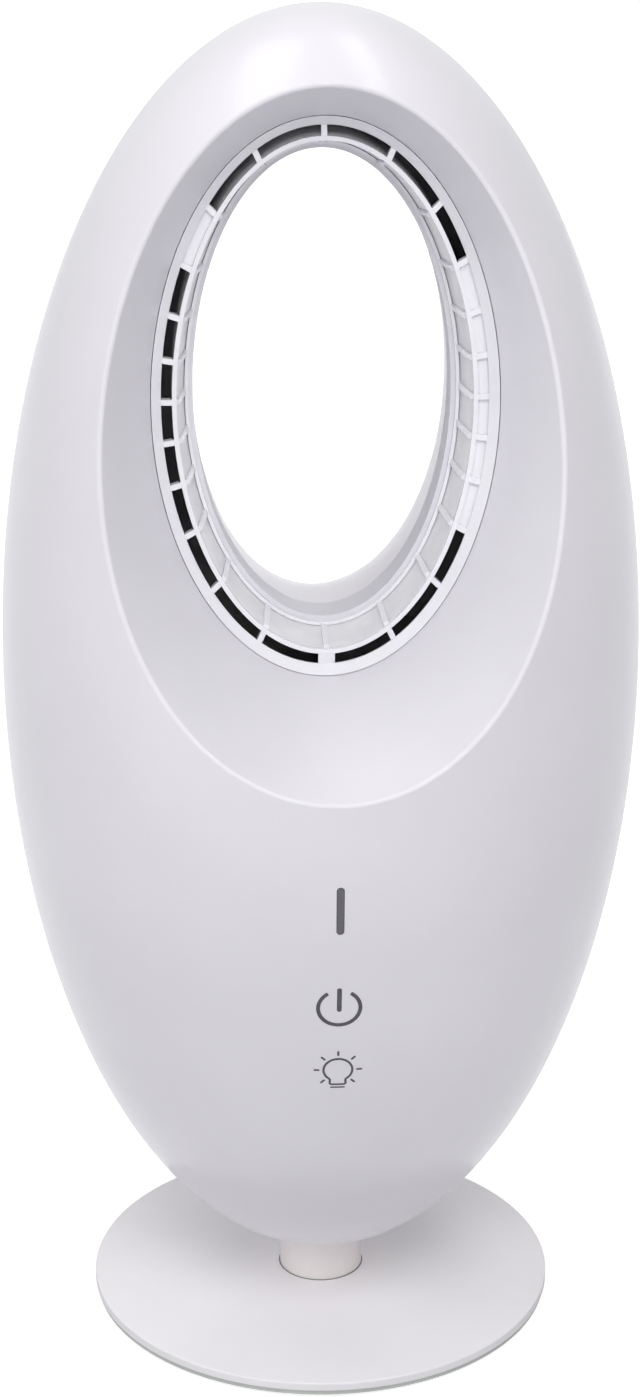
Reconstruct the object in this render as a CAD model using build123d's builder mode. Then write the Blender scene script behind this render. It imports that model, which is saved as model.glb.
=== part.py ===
from build123d import *

import os
from math import atan2, cos, hypot, radians, sin, sqrt, tan

os.makedirs("parts", exist_ok=True)

# Desk bladeless fan: an egg-shaped body on a short neck and a round base.
# Millimetres, +Z up, origin under the centre of the base on the table, front towards -Y.

# --- Body egg: a spheroid standing on its long axis ---
body_radius = 75.0
body_half_height = 155.0
body_foot_z = 15.5
body_centre_z = body_foot_z + body_half_height
shell_wall = 2.5
groove_half_width = 0.2
groove_depth = 0.4

# --- Outlet ring: concentric ellipses on a plane that leans back ---
# "offset" is measured outward from the middle of the air slot, "depth" backward from the plane.
ring_lean = 4.5
ring_y = -17.8
ring_z = body_centre_z + 69.2
ring_half_width = 35.9
ring_half_height = 61.3
slot_half_width = 1.25
hoop_outer_offset = 3.5
hoop_front_depth = -1.9
hoop_thickness = 4.0
hoop_gap = 0.2
slot_edge_depth = 0.5
slot_back_offset = 2.1
lip_width = 1.05
rib_count = 24
rib_width = 1.3
bottom_pad_width = 3.8
rib_front_depth = 0.35
rib_back_depth = 2.0
rib_root = 1.45
rib_drop = 0.3
rib_height = 0.65
rib_step = 0.45
rib_end_lap = 0.5
pad_rise = 0.15
lip_front_depth = -0.4
lip_depth = 0.95
inner_hoop_width = 0.8
inner_hoop_depth = 11.7
hoop_lap = 0.4
guide_depth = 12.6
web_front_depth = 1.2
web_outer_offset = 2.6

# Slots closed by a web, numbered clockwise from the top: six on the right, one on the left.
closed_slots = [*range(3, 9), 21]

# --- Recess in front of the ring, opening to a larger ellipse on a plane ahead of the body ---
recess_mouth_y = -80.0
recess_mouth_z = body_centre_z + 87.9
recess_mouth_half_width = 69.3
recess_mouth_half_height = 94.5
recess_wall = 2.6
recess_edge_fillet = 0.8
recess_flange_thickness = 2.0

# --- Throat through the head, flaring open to the rear ---
throat_offset = -6.3
throat_wall = 2.0
flare_straight = 3.0
flare_radius = 90.0
flare_angle = 21.0
flare_end = 108.0
flare_sections = 10
rim_width = 1.9
rim_outer_width = 0.95
rim_thickness = 1.4
trough_depth = 1.4
collar_wall = 1.2
collar_front = 19.0
collar_lap = 2.5
light_board_thickness = 1.0
led_count = 24
led_size = 1.4
led_height = 0.4
nozzle_wall = 1.2
nozzle_length = 12.0
nozzle_front_offset = 2.5
nozzle_back_offset = 6.6

# --- Touch panel ---
lens_width = 1.8
lens_length = 12.4
lens_z = body_centre_z - 32.1
board_z = body_centre_z - 53.5
board_width = 30.0
board_length = 58.0
board_corner = 2.0
board_thickness = 1.6
board_setback = 7.2
board_post_spacing_x = 23.0
board_post_spacing_z = 52.0
board_post_radius = 2.6
board_screw_length = 4.6
lens_flange = 2.8
lens_flange_thickness = 1.0
lens_pipe_depth = 5.2
light_bar_height = 0.6
chip_size = 8.0
chip_height = 1.2
chip_spot = (-4.0, 6.0)
buffer_radius = 3.5
buffer_height = 4.0
buffer_spot = (5.0, -12.0)
plug_width = 12.0
plug_depth = 6.0
plug_height = 6.0
plug_spot = (0.0, -24.0)
power_mark_z = body_centre_z - 58.2
lamp_mark_z = body_centre_z - 76.3
touch_pad_radius = 5.0

# --- Fan module, stacked up the body axis ---
fan_bottom_z = body_centre_z - 92.5
fan_top_z = body_centre_z - 21.5
housing_radius = 46.0
housing_wall = 2.5
housing_flange_radius = 54.0
housing_flange_thickness = 2.5
bell_mouth_radius = 29.8
shroud_top_radius = 41.8
shroud_wall = 1.5
inlet_flange_thickness = 2.5
bell_shoulder = 1.0
shroud_bottom_z = fan_bottom_z + 4.0
shroud_top_z = fan_bottom_z + 32.0
impeller_gap = 0.8
blade_count = 9
blade_thickness = 1.6
blade_twist = 52.0
hub_nose = 1.0
hub_nose_height = 5.0
hub_bottom_radius = 11.0
hub_top_radius = 30.0
hub_wall = 2.0
hub_boss_radius = 5.0
hub_boss_drop = 1.0
bucket_gap = 3.0
bucket_radius = 30.0
bucket_wall = 2.0
bucket_height = 26.0
stator_vane_count = 7
stator_vane_thickness = 1.8
stator_vane_twist = -24.0
stator_vane_margin = 1.5
motor_radius = 24.0
motor_height = 22.0
motor_wall = 1.4
boss_drop = 3.0
motor_screw_circle = 14.0
stator_slot_count = 9
stator_slot_radius = 2.4
cap_rise = 8.0
cap_wall = 1.6
cap_skirt = 1.5
shaft_radius = 2.0
bearing_outer_radius = 6.5
bearing_width = 5.0
running_fit = 0.05
rotor_radius = 12.5
air_gap = 0.5
lamination_height = 13.0

# --- Air plate between the fan and the head ---
plate_thickness = 2.5
gasket_thickness = 1.5
ledge_width = 8.0
ledge_thickness = 2.6
ledge_boss_height = 8.0

# --- Rear intake and power inlet ---
intake_width = 64.0
intake_height = 34.0
intake_corner = 9.0
intake_z = body_foot_z + 44.5
intake_slot_length = 17.0
intake_slot_height = 1.7
intake_columns = 3
intake_rows = 8
intake_pitch_x = 19.4
intake_pitch_z = 3.6
intake_flange = 3.0
intake_flange_thickness = 0.4
filter_thickness = 1.2
socket_z = body_foot_z + 78.5
socket_radius = 4.0
socket_pocket_radius = 7.0
socket_boss_radius = 9.5
socket_recess = 3.63
socket_floor = 2.0
socket_body_width = 11.0
socket_body_depth = 9.0
socket_bore = 2.75
socket_pin = 1.0
intake_reach = 65.0

# --- Neck and base ---
neck_radius = 10.25
neck_bore = 6.0
neck_spigot_radius = 8.5
neck_step_z = body_foot_z + 5.5
neck_boss_radius = 14.0
neck_boss_top = body_foot_z + 11.5
neck_flange_radius = 16.5
washer_thickness = 1.0
nut_radius = 13.0
nut_height = 4.0
base_radius = 56.8
base_top_z = 4.6
base_dome = 0.7
base_foot_height = 1.3
pan_thickness = 1.1
pan_radius = 56.4
weight_thickness = 0.95
weight_radius = 54.0
cover_seam = 0.2
cover_fillet = 0.35
base_screw_circle = 30.0
base_screw_bite = 1.3
foot_radius = 6.0
foot_circle = 46.0
foot_count = 4

# --- Screws ---
shell_screw_radius = 1.5
shell_screw_head = 2.9
shell_screw_length = 18.0
shell_screw_lower = (54.0, body_centre_z - 58.5)
shell_screw_upper = (52.0, body_centre_z + 44.5)
tower_radius = 4.2
screw_seat = 10.0
small_screw_radius = 1.2
small_screw_head = 2.3
head_height = 1.2
plate_screw_length = 9.0

# --- Clearances ---
fit = 0.1
seat = 0.05
overcut = 1.0

# --- Worked-out frames ---
lean = radians(ring_lean)
ring_plane = Plane(
    origin=(0, ring_y, ring_z), x_dir=(1, 0, 0), z_dir=(0, -cos(lean), sin(lean))
)
back_dir = Vector(0, cos(lean), -sin(lean))
body_centre = Vector(0, 0, body_centre_z)
parting_depth = (body_centre - ring_plane.origin).dot(back_dir)
parting_plane = Plane(origin=body_centre, x_dir=(1, 0, 0), z_dir=ring_plane.z_dir)
parting_half_height = body_half_height / hypot(
    cos(lean), sin(lean) * body_half_height / body_radius
)


def body_radius_at(z, inset=0.0):
    # Radius of the egg, moved inward by the inset, at height z.
    rise = (z - body_centre_z) / (body_half_height - inset)
    return (body_radius - inset) * sqrt(1 - rise * rise)


def parting_y(z):
    return (z - body_centre_z) * sin(lean) / cos(lean)


def egg(inset, seam_y=-1):
    # Solid spheroid, smaller than the body by the inset all round. Its surface seam runs
    # down the front, or down the rear where seam_y is 1, away from what is cut into it.
    with BuildPart() as solid:
        with BuildSketch(
            Plane(origin=(0, 0, body_centre_z), x_dir=(0, seam_y, 0), z_dir=(seam_y, 0, 0))
        ):
            Ellipse(body_radius - inset, body_half_height - inset)
            with Locations((-body_radius, 0)):
                Rectangle(2 * body_radius, 3 * body_half_height, mode=Mode.SUBTRACT)
        revolve(axis=Axis.Z)
    return solid.part


def parting_groove(side):
    # Shallow groove along the parting line, on the front half, or on the rear where side is -1.
    with BuildPart() as groove:
        with BuildSketch(parting_plane):
            Ellipse(body_radius + overcut, parting_half_height + overcut)
            Ellipse(
                body_radius - groove_depth, parting_half_height - groove_depth, mode=Mode.SUBTRACT
            )
        extrude(amount=side * groove_half_width)
    return groove.part


def ring_core(profile, smooth=False):
    # Solid of ellipses stacked along the ring axis; the profile is (offset, depth) points.
    with BuildPart() as core:
        for offset_out, depth in profile:
            with BuildSketch(ring_plane.offset(-depth)):
                Ellipse(ring_half_width + offset_out, ring_half_height + offset_out)
        loft(ruled=not smooth)
    return core.part


def straight_core(offset_out, front, back):
    # Elliptical plug of one offset between two depths.
    return ring_core([(offset_out, front), (offset_out, back)])


def ring_hoop(outer, inner, front, back):
    # Hoop between two depths. Outer and inner are an offset at the front and one at the back.
    with BuildPart() as hoop:
        add(ring_core([(outer[0], front), (outer[1], back)]))
        add(ring_core([(inner[0], front), (inner[1], back)]), mode=Mode.SUBTRACT)
    return hoop.part


def straight_hoop(outer, inner, front, back):
    return ring_hoop((outer, outer), (inner, inner), front, back)


def ring_spot(angle):
    # Sine and cosine of the ellipse parameter of the ring point seen at an angle from the top.
    turn = radians(angle)
    reach = hypot(ring_half_height * sin(turn), ring_half_width * cos(turn))
    return ring_half_height * sin(turn) / reach, ring_half_width * cos(turn) / reach


def rib_plane(angle):
    # Plane across the ring at the angle: x is the offset outward, y the depth backward.
    across, up = ring_spot(angle)
    outward = ring_plane.x_dir * across + ring_plane.y_dir * up
    return Plane(
        origin=ring_plane.from_local_coords((ring_half_width * across, ring_half_height * up, 0)),
        x_dir=outward,
        z_dir=outward.cross(back_dir),
    )


def ring_rib(angle, profile, width):
    # Rib across the ring at the angle, with its profile in (offset, depth) points.
    with BuildPart() as rib:
        with BuildSketch(rib_plane(angle)):
            with BuildLine():
                Polyline(profile, close=True)
            make_face()
        extrude(amount=width / 2, both=True)
    return rib.part


def tube(radius, bottom, top, bore=0.0):
    # Upright round bar or tube on the body axis.
    with BuildPart() as bar:
        with BuildSketch(Plane.XY.offset(bottom)):
            Circle(radius)
            if bore > 0:
                Circle(bore, mode=Mode.SUBTRACT)
        extrude(amount=top - bottom)
    return bar.part


def screw_set(planes, radius, head_radius, length):
    # Pan-head screws: each plane lies on the seat, with its normal out of the head.
    with BuildPart() as screws:
        for plane in planes:
            with BuildSketch(plane):
                Circle(head_radius)
            extrude(amount=head_height)
            with BuildSketch(plane):
                Circle(radius)
            extrude(amount=-length)
    return screws.part


def finish(piece, name):
    piece.label = name
    export_step(piece, f"parts/{name}.step")


# --- Recess: the air in front of the ring, and the wall round it ---
hoop_back_depth = hoop_front_depth + hoop_thickness
flange_back_depth = hoop_back_depth + recess_flange_thickness
hoop_seat_offset = hoop_outer_offset + hoop_gap


def recess_solid(ring_offset, ring_depth, growth):
    with BuildPart() as solid:
        with BuildSketch(ring_plane.offset(-ring_depth)):
            Ellipse(ring_half_width + ring_offset, ring_half_height + ring_offset)
        mouth = Plane(origin=(0, recess_mouth_y, recess_mouth_z), x_dir=(1, 0, 0), z_dir=(0, -1, 0))
        with BuildSketch(mouth):
            Ellipse(recess_mouth_half_width + growth, recess_mouth_half_height + growth)
        loft(ruled=True)
    return solid.part


recess_air = recess_solid(hoop_seat_offset, hoop_front_depth, 0)
recess_block = recess_solid(hoop_seat_offset + recess_wall, flange_back_depth, recess_wall)

# --- Flared throat: the air passage and the wall round it ---


def flare_offset(depth):
    # Straight throat, then an arc that bends outward, then a straight cone.
    start = parting_depth + flare_straight
    turn = radians(flare_angle)
    arc_end = start + flare_radius * sin(turn)
    if depth <= start:
        return throat_offset
    if depth <= arc_end:
        return throat_offset + flare_radius - sqrt(flare_radius**2 - (depth - start) ** 2)
    return throat_offset + flare_radius * (1 - cos(turn)) + (depth - arc_end) * tan(turn)


def flare_profile(wall):
    first = parting_depth - flare_straight
    step = (flare_end - first) / flare_sections
    depths = [first + index * step for index in range(flare_sections + 1)]
    return [(flare_offset(depth) + wall, depth) for depth in depths]


flare_air = ring_core(flare_profile(0), smooth=True)
flare_block = ring_core(flare_profile(throat_wall), smooth=True)

# --- Screw towers, joining the half shells from behind ---
tower_points = [
    (side * x, z) for x, z in (shell_screw_lower, shell_screw_upper) for side in (-1, 1)
]


def tower(x, z, radius, start_y, end_y):
    with BuildPart() as post:
        with BuildSketch(Plane(origin=(x, start_y, z), x_dir=(1, 0, 0), z_dir=(0, 1, 0))):
            Circle(radius)
        extrude(amount=end_y - start_y)
    return post.part


# --- Ledge that carries the air plate ---
plate_bottom_z = fan_top_z + gasket_thickness
plate_top_z = plate_bottom_z + plate_thickness
ledge_radius = body_radius_at(plate_bottom_z, shell_wall) - ledge_width
plate_screw_circle = body_radius_at(plate_bottom_z, shell_wall) - ledge_width / 2
plate_screw_spots = PolarLocations(plate_screw_circle, 4, start_angle=45)


def plate_ledge():
    # Shelf round the inside of the wall, with a boss for each plate screw.
    with BuildPart() as ledge:
        shelf_bottom_z = plate_bottom_z - ledge_thickness
        add(tube(2 * body_radius, shelf_bottom_z, plate_bottom_z - seat, ledge_radius))
        with BuildSketch(Plane.XY.offset(plate_bottom_z - seat)):
            with plate_screw_spots:
                Circle(tower_radius)
        extrude(amount=-ledge_boss_height)
    return ledge.part


# --- Touch board frame, parallel to the wall behind the marks ---
board_wall_y = -body_radius_at(board_z)
board_tilt = atan2(
    (body_centre_z - board_z) / body_half_height**2, -board_wall_y / body_radius**2
)
board_normal = Vector(0, -cos(board_tilt), -sin(board_tilt))
board_plane = Plane(
    origin=Vector(0, board_wall_y, board_z) - board_normal * board_setback,
    x_dir=(1, 0, 0),
    z_dir=board_normal,
)
board_posts = GridLocations(board_post_spacing_x, board_post_spacing_z, 2, 2)

# --- Indicator lens frame, on the wall ---
lens_wall_y = -body_radius_at(lens_z)
lens_tilt = atan2((body_centre_z - lens_z) / body_half_height**2, -lens_wall_y / body_radius**2)
lens_normal = Vector(0, -cos(lens_tilt), -sin(lens_tilt))
lens_plane = Plane(origin=(0, lens_wall_y, lens_z), x_dir=(1, 0, 0), z_dir=lens_normal)
mouth_samples = (0.1, 0.35, 0.6, 0.85)


def mouth_edges(edges):
    # The edge where a recess or flare runs out through the egg's outer skin, told from the
    # parting edge by points sampled along it.
    def on_skin(point):
        return abs(hypot(point.X, point.Y) - body_radius_at(point.Z)) < seat

    def off_seam(point):
        return abs(parting_plane.to_local_coords(point).Z) > shell_wall

    return [
        edge
        for edge in edges
        if edge.length > 2 * body_radius
        and all(on_skin(edge @ t) and off_seam(edge @ t) for t in mouth_samples)
    ]


def screw_holes():
    # Pilot holes for the shell screws, from inside the front towers to the rear skin.
    with BuildPart() as holes:
        for x, z in tower_points:
            tip_y = parting_y(z) + screw_seat - shell_screw_length - fit
            add(tower(x, z, shell_screw_radius + seat, tip_y, body_radius))
    return holes.part


def plate_screw_holes():
    with BuildPart() as holes:
        with BuildSketch(Plane.XY.offset(plate_top_z + overcut)):
            with plate_screw_spots:
                Circle(small_screw_radius + seat)
        extrude(amount=-(plate_screw_length + overcut + fit))
    return holes.part


def shaped_cavity(wall_block, bosses, seam_y):
    # Inside of the egg, less the throat or recess wall, the towers, the ledge and the bosses.
    with BuildPart() as cavity:
        add(egg(shell_wall, seam_y))
        add(wall_block, mode=Mode.SUBTRACT)
        for x, z in tower_points:
            add(tower(x, z, tower_radius, -body_radius, body_radius), mode=Mode.SUBTRACT)
        add(plate_ledge(), mode=Mode.SUBTRACT)
        add(bosses, mode=Mode.SUBTRACT)
    return cavity.part


with BuildPart() as board_bosses:
    with BuildSketch(board_plane):
        with board_posts:
            Circle(board_post_radius)
    extrude(amount=board_setback)

with BuildPart() as front_shell:
    add(egg(0, seam_y=1))
    add(shaped_cavity(recess_block, board_bosses.part, seam_y=1), mode=Mode.SUBTRACT)
    split(bisect_by=parting_plane, keep=Keep.TOP)
    add(recess_air, mode=Mode.SUBTRACT)
    add(
        straight_core(hoop_seat_offset, hoop_front_depth - overcut, hoop_back_depth),
        mode=Mode.SUBTRACT,
    )
    add(
        straight_core(
            nozzle_front_offset, hoop_back_depth - overcut, flange_back_depth + overcut
        ),
        mode=Mode.SUBTRACT,
    )
    add(screw_holes(), mode=Mode.SUBTRACT)
    add(plate_screw_holes(), mode=Mode.SUBTRACT)
    with BuildSketch(board_plane):
        with board_posts:
            Circle(small_screw_radius + seat)
    extrude(amount=board_screw_length - board_thickness + fit, mode=Mode.SUBTRACT)
    with BuildSketch(lens_plane):
        SlotOverall(lens_length, lens_width, rotation=90)
    extrude(amount=shell_wall + overcut, both=True, mode=Mode.SUBTRACT)
    fillet(mouth_edges(front_shell.edges()), recess_edge_fillet)
    add(parting_groove(1), mode=Mode.SUBTRACT)
finish(front_shell.part, "front_shell")

# --- Rear half shell: flared opening, intake window, socket pocket, neck boss ---
intake_plane = Plane(origin=(0, body_radius, intake_z), x_dir=(-1, 0, 0), z_dir=(0, 1, 0))
socket_face_y = body_radius_at(socket_z) - socket_recess
socket_inner_y = socket_face_y - socket_floor
with BuildPart() as rear_bosses:
    add(tube(neck_boss_radius, 0, neck_boss_top))
    add(tower(0, socket_z, socket_boss_radius, socket_inner_y, body_radius))

with BuildPart() as rear_shell:
    add(egg(0))
    add(shaped_cavity(flare_block, rear_bosses.part, seam_y=-1), mode=Mode.SUBTRACT)
    split(bisect_by=parting_plane, keep=Keep.BOTTOM)
    add(flare_air, mode=Mode.SUBTRACT)
    add(tube(neck_radius + fit, 0, neck_step_z), mode=Mode.SUBTRACT)
    add(tube(neck_spigot_radius + fit, 0, neck_boss_top + fit), mode=Mode.SUBTRACT)
    add(screw_holes(), mode=Mode.SUBTRACT)
    for x, z in tower_points:
        add(
            tower(x, z, shell_screw_head + fit, parting_y(z) + screw_seat, body_radius),
            mode=Mode.SUBTRACT,
        )
    add(plate_screw_holes(), mode=Mode.SUBTRACT)
    with BuildSketch(intake_plane):
        RectangleRounded(intake_width, intake_height, intake_corner)
    extrude(amount=-intake_reach, mode=Mode.SUBTRACT)
    add(
        tower(0, socket_z, socket_pocket_radius, socket_face_y, body_radius), mode=Mode.SUBTRACT
    )
    add(tower(0, socket_z, socket_radius + fit, 0, body_radius), mode=Mode.SUBTRACT)
    fillet(mouth_edges(rear_shell.edges()), recess_edge_fillet)
    add(parting_groove(-1), mode=Mode.SUBTRACT)
finish(rear_shell.part, "rear_shell")

# --- Outlet grille: three hoops joined by the ribs ---
guide_front_depth = lip_depth + seat
guide_front_offset = -slot_half_width - lip_width - seat
guide_back_offset = throat_offset + rim_width + seat


def guide_face(depth):
    # Offset of the light guide's sloping face at a depth.
    share = (depth - guide_front_depth) / (guide_depth - guide_front_depth)
    return guide_front_offset + share * (guide_back_offset - guide_front_offset)


inner_hoop_back = guide_depth + hoop_lap
inner_hoop_out = guide_face(guide_depth) - seat
inner_hoop_in = inner_hoop_out - inner_hoop_width
lip_inner_offset = -slot_half_width - lip_width
lip_middle = -slot_half_width - lip_width / 2
rib_back = lip_depth - seat
rib_end_depth = inner_hoop_depth + rib_end_lap
rib_profile = [
    (slot_half_width + rib_root, rib_front_depth),
    (lip_middle, lip_front_depth + rib_drop),
    (guide_face(guide_front_depth) - rib_height, guide_front_depth),
    (guide_face(rib_end_depth) - rib_height, rib_end_depth),
    (guide_face(rib_end_depth), rib_end_depth),
    (guide_face(guide_front_depth) + rib_step, rib_back),
    (-slot_half_width + rib_step, rib_back),
    (-slot_half_width + rib_step, rib_back_depth),
    (slot_half_width + rib_root, rib_back_depth),
]
pad_profile = [
    (slot_half_width + rib_root, rib_front_depth - pad_rise),
    (lip_middle, lip_front_depth + rib_drop - pad_rise),
    (lip_middle, rib_back - fit),
    (-slot_half_width + rib_step, rib_back - fit),
    (-slot_half_width + rib_step, rib_back_depth + fit),
    (slot_half_width + rib_root, rib_back_depth + fit),
]
guide_room = ring_hoop(
    (-slot_half_width, -slot_half_width),
    (guide_front_offset - seat, guide_back_offset - seat),
    guide_front_depth - fit,
    guide_depth,
)


def guide_rib(angle):
    # Rib with its foot shaped to lie just over the light guide's sloping face.
    with BuildPart() as rib:
        add(ring_rib(angle, rib_profile, rib_width))
        add(guide_room, mode=Mode.SUBTRACT)
    return rib.part


def slot_web(slot):
    # Web that closes the slot between two neighbouring ribs.
    corners = [(0, 0)]
    for rib in (slot, slot + 1):
        across, up = ring_spot(rib * 360 / rib_count)
        corners.append((2 * ring_half_width * across, 2 * ring_half_height * up))
    with BuildPart() as web:
        with BuildSketch(ring_plane.offset(-web_front_depth)):
            Polygon(*corners, align=None)
        extrude(amount=web_front_depth - rib_back_depth)
        add(
            straight_hoop(web_outer_offset, -slot_half_width, web_front_depth, rib_back_depth),
            mode=Mode.INTERSECT,
        )
    return web.part


bore_slope = (slot_back_offset - slot_half_width) / (hoop_back_depth - slot_edge_depth)
slot_bore = ring_core(
    [
        (slot_half_width, hoop_front_depth - overcut),
        (slot_half_width, slot_edge_depth),
        (slot_back_offset + bore_slope * overcut, hoop_back_depth + overcut),
    ]
)
hoop_bevel = ring_core(
    [(hoop_outer_offset + seat, hoop_front_depth - fit), (slot_half_width - seat, 0)]
)
lip_hoop = straight_hoop(-slot_half_width, lip_inner_offset, lip_front_depth, lip_depth)
inner_hoop = straight_hoop(inner_hoop_out, inner_hoop_in, inner_hoop_depth, inner_hoop_back)
ribs = [guide_rib(rib * 360 / rib_count) for rib in range(rib_count)]
bottom_pad = ring_rib(180, pad_profile, bottom_pad_width)
webs = [slot_web(slot) for slot in closed_slots]
with BuildPart() as outlet_grille:
    add(straight_core(hoop_outer_offset, hoop_front_depth, hoop_back_depth))
    add(slot_bore, mode=Mode.SUBTRACT)
    add(hoop_bevel, mode=Mode.SUBTRACT)
    add([lip_hoop, inner_hoop, *ribs, bottom_pad])
    add(webs)
finish(outlet_grille.part, "outlet_grille")

# --- Light guide: a wedge-section ring whose sloping face shows between the ribs ---
guide_outer_offset = -slot_half_width - seat
light_guide = ring_hoop(
    (guide_outer_offset, guide_outer_offset),
    (guide_front_offset, guide_back_offset),
    guide_front_depth,
    guide_depth,
)
finish(light_guide, "light_guide")

# --- Throat sleeve: the front of the air passage, with a trough for the lamp board ---
rim_front = inner_hoop_back + seat
trough_inner = throat_offset + rim_width
trough_outer = -slot_half_width - rim_outer_width
trough_floor = rim_front + trough_depth
sleeve_back = parting_depth - seat
collar_inner = throat_offset + throat_wall + fit
sleeve_outer = throat_offset + throat_wall
rim_back = trough_floor + rim_thickness
collar_outer = collar_inner + collar_wall
collar_root = throat_offset + throat_wall / 2
with BuildPart() as throat_sleeve:
    add(straight_hoop(trough_inner, throat_offset, rim_front, trough_floor))
    add(straight_hoop(guide_outer_offset, throat_offset, trough_floor, rim_back))
    add(straight_hoop(guide_outer_offset, trough_outer, guide_depth + seat, trough_floor))
    add(straight_hoop(sleeve_outer, throat_offset, rim_back, sleeve_back))
    add(straight_hoop(collar_outer, collar_root, collar_front, sleeve_back))
    add(straight_hoop(collar_outer, collar_inner, sleeve_back, parting_depth + collar_lap))
finish(throat_sleeve.part, "throat_sleeve")

# --- Lamp board: a ring board in the trough, with its light sources facing the guide ---
lamp_board_front = trough_floor - seat - light_board_thickness
lamp_middle = (trough_inner + trough_outer) / 2
lamp_board_back = lamp_board_front + light_board_thickness
with BuildPart() as lamp_board:
    add(straight_hoop(trough_outer - fit, trough_inner + fit, lamp_board_front, lamp_board_back))
    for led in range(led_count):
        angle = (led + 0.5) * 360 / led_count
        across, up = ring_spot(angle)
        led_x = (ring_half_width + lamp_middle) * across
        led_y = (ring_half_height + lamp_middle) * up
        with BuildSketch(ring_plane.offset(-lamp_board_front)):
            with Locations((led_x, led_y)):
                Rectangle(led_size, led_size, rotation=-angle)
        extrude(amount=led_height)
finish(lamp_board.part, "lamp_board")

# --- Outlet nozzle: narrows the air towards the slot, seated behind the recess flange ---
nozzle_front = flange_back_depth
nozzle_back = nozzle_front + nozzle_length
with BuildPart() as outlet_nozzle:
    add(
        ring_hoop(
            (nozzle_front_offset + nozzle_wall, nozzle_back_offset + nozzle_wall),
            (nozzle_front_offset, nozzle_back_offset),
            nozzle_front,
            nozzle_back,
        )
    )
    add(
        straight_hoop(
            nozzle_back_offset,
            nozzle_front_offset + nozzle_wall / 2,
            nozzle_front,
            nozzle_front + nozzle_wall,
        )
    )
finish(outlet_nozzle.part, "outlet_nozzle")

# --- Indicator lens: a bar through the wall with a flange and light pipe behind ---
with BuildPart() as indicator_lens:
    with BuildSketch(lens_plane):
        SlotOverall(lens_length - 2 * fit, lens_width - 2 * fit, rotation=90)
    extrude(amount=-lens_pipe_depth)
    with BuildSketch(lens_plane.offset(-shell_wall - fit)):
        SlotOverall(lens_length + lens_flange, lens_width + lens_flange, rotation=90)
    extrude(amount=-lens_flange_thickness)
finish(indicator_lens.part, "indicator_lens")

# --- Control board: touch electronics behind the marks, with the light bar under the lens ---
lens_on_board = board_plane.to_local_coords(Vector(0, lens_wall_y, lens_z)).Y
board_back_plane = board_plane.offset(-board_thickness)
with BuildPart() as control_board:
    with BuildSketch(board_plane):
        RectangleRounded(board_width, board_length, board_corner)
        with board_posts:
            Circle(small_screw_radius + fit, mode=Mode.SUBTRACT)
    extrude(amount=-board_thickness)
    with BuildSketch(board_plane):
        with Locations((0, lens_on_board)):
            Rectangle(lens_width, lens_length)
    extrude(amount=light_bar_height)
    with BuildSketch(board_back_plane):
        with Locations(chip_spot):
            Rectangle(chip_size, chip_size)
    extrude(amount=-chip_height)
    with BuildSketch(board_back_plane):
        with Locations(buffer_spot):
            Circle(buffer_radius)
    extrude(amount=-buffer_height)
    with BuildSketch(board_back_plane):
        with Locations(plug_spot):
            Rectangle(plug_width, plug_depth)
    extrude(amount=-plug_height)
finish(control_board.part, "control_board")

board_screws = screw_set(
    [
        Plane(origin=spot.position, x_dir=(1, 0, 0), z_dir=-board_normal)
        for spot in (
            Location(board_back_plane) * Pos(x, z)
            for x in (-board_post_spacing_x / 2, board_post_spacing_x / 2)
            for z in (-board_post_spacing_z / 2, board_post_spacing_z / 2)
        )
    ],
    small_screw_radius,
    small_screw_head,
    board_screw_length,
)
finish(board_screws, "board_screws")

# --- Touch pads: conductive foam between the board and the wall, under each mark ---
with BuildPart() as touch_pads:
    for mark_z in (power_mark_z, lamp_mark_z):
        local = board_plane.to_local_coords(Vector(0, -body_radius_at(mark_z), mark_z))
        with BuildSketch(board_plane.offset(seat)):
            with Locations((0, local.Y)):
                Circle(touch_pad_radius)
        extrude(amount=board_setback)
    add(egg(shell_wall + seat), mode=Mode.INTERSECT)
finish(touch_pads.part, "touch_pads")

# --- Rear intake: a louvred panel clipped in the window from inside, with a dust filter ---
panel_flange_inset = shell_wall + seat
panel_back_inset = panel_flange_inset + intake_flange_thickness
with BuildPart() as panel_flange:
    with BuildSketch(intake_plane):
        RectangleRounded(
            intake_width + 2 * intake_flange, intake_height + 2 * intake_flange, intake_corner
        )
    extrude(amount=-intake_reach)
    add(egg(panel_flange_inset), mode=Mode.INTERSECT)
    add(egg(panel_back_inset), mode=Mode.SUBTRACT)
with BuildPart() as intake_grille:
    with BuildSketch(intake_plane):
        RectangleRounded(intake_width - 2 * fit, intake_height - 2 * fit, intake_corner)
    extrude(amount=-intake_reach)
    add(egg(0), mode=Mode.INTERSECT)
    add(egg(panel_back_inset), mode=Mode.SUBTRACT)
    add(panel_flange.part)
    with BuildSketch(intake_plane):
        with GridLocations(intake_pitch_x, intake_pitch_z, intake_columns, intake_rows):
            SlotOverall(intake_slot_length, intake_slot_height)
    extrude(amount=-intake_reach, mode=Mode.SUBTRACT)
finish(intake_grille.part, "intake_grille")

with BuildPart() as dust_filter:
    with BuildSketch(intake_plane):
        RectangleRounded(intake_width, intake_height, intake_corner)
    extrude(amount=-intake_reach)
    add(egg(panel_back_inset + seat), mode=Mode.INTERSECT)
    add(egg(panel_back_inset + seat + filter_thickness), mode=Mode.SUBTRACT)
finish(dust_filter.part, "dust_filter")

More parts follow.
